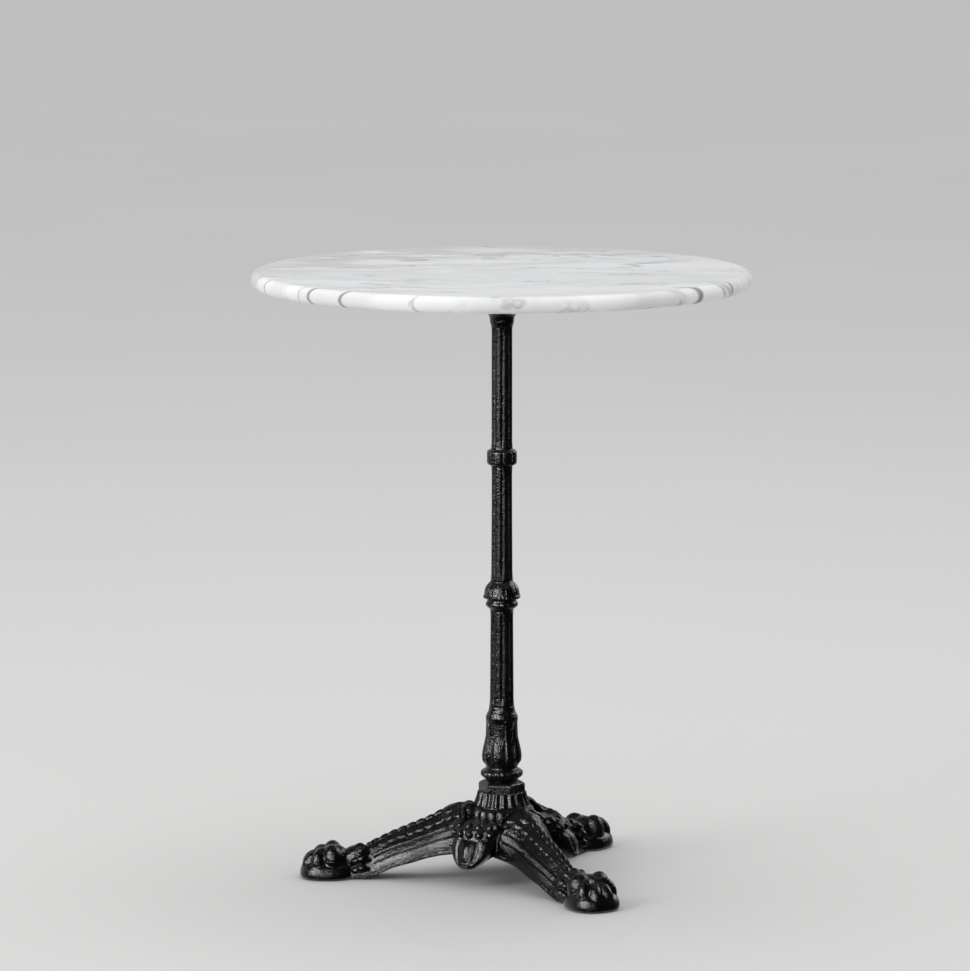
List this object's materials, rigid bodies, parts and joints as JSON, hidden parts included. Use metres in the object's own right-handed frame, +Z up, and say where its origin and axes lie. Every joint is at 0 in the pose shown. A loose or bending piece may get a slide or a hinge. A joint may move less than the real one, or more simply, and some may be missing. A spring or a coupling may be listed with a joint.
{
  "type": "bistro table",
  "caption": "Round marble bistro table on a slim fluted cast-iron column with a three-legged base, lion-paw feet and levelling glides.",
  "frame": {"origin": "on the floor under the column's axis, at the bottom of the levelling glides", "axes": "+Z up the column; -X along the left leg; the other two legs are 60 degrees either side of +X"},
  "size_m": [0.61, 0.61, 0.75],
  "materials": {
    "marble": "polished white marble with soft grey veins",
    "black_iron": "semi-gloss black paint on rough cast iron",
    "zinc_steel": "zinc-plated steel",
    "brass": "machined brass",
    "nylon": "moulded black nylon"
  },
  "bodies": {
    "table": {"marble_top": "marble", "top_insert_1": "brass", "top_insert_2": "brass", "top_insert_3": "brass", "top_insert_4": "brass", "top_screw_1": "zinc_steel", "top_screw_2": "zinc_steel", "top_screw_3": "zinc_steel", "top_screw_4": "zinc_steel", "mounting_spider": "black_iron", "upper_column": "black_iron", "column_knop": "black_iron", "lower_column": "black_iron", "column_vase": "black_iron", "base_hub": "black_iron", "tie_rod": "zinc_steel", "tie_rod_top_nut": "zinc_steel", "tie_rod_top_washer": "zinc_steel", "tie_rod_bottom_nut": "zinc_steel", "tie_rod_bottom_washer": "zinc_steel", "leg_left": "black_iron", "leg_front": "black_iron", "leg_rear": "black_iron", "leg_bolt_left": "zinc_steel", "leg_bolt_front": "zinc_steel", "leg_bolt_rear": "zinc_steel", "leg_washer_left": "zinc_steel", "leg_washer_front": "zinc_steel", "leg_washer_rear": "zinc_steel"},
    "glide_left": {"glide_pad_left": "nylon"},
    "stem_left": {"glide_stem_left": "zinc_steel"},
    "glide_front": {"glide_pad_front": "nylon"},
    "stem_front": {"glide_stem_front": "zinc_steel"},
    "glide_rear": {"glide_pad_rear": "nylon"},
    "stem_rear": {"glide_stem_rear": "zinc_steel"}
  },
  "joints": [
    {"name": "glide_left_slide", "type": "slide", "parent": "table", "child": "glide_left", "axis": [0, 0, -1], "range_m": [0, 0.01]},
    {"name": "stem_left_turn", "type": "hinge", "parent": "glide_left", "child": "stem_left", "pos_m": [-0.215, 0, 0.01], "axis": [0, 0, -1], "range_deg": [0, 2880]},
    {"name": "glide_front_slide", "type": "slide", "parent": "table", "child": "glide_front", "axis": [0, 0, -1], "range_m": [0, 0.01]},
    {"name": "stem_front_turn", "type": "hinge", "parent": "glide_front", "child": "stem_front", "pos_m": [0.1075, -0.18619, 0.01], "axis": [0, 0, -1], "range_deg": [0, 2880]},
    {"name": "glide_rear_slide", "type": "slide", "parent": "table", "child": "glide_rear", "axis": [0, 0, -1], "range_m": [0, 0.01]},
    {"name": "stem_rear_turn", "type": "hinge", "parent": "glide_rear", "child": "stem_rear", "pos_m": [0.1075, 0.18619, 0.01], "axis": [0, 0, -1], "range_deg": [0, 2880]}
  ],
  "couplings": [
    {"joint": "stem_left_turn", "follows": "glide_left_slide", "rad_per_m": 5026.5},
    {"joint": "stem_front_turn", "follows": "glide_front_slide", "rad_per_m": 5026.5},
    {"joint": "stem_rear_turn", "follows": "glide_rear_slide", "rad_per_m": 5026.5}
  ]
}
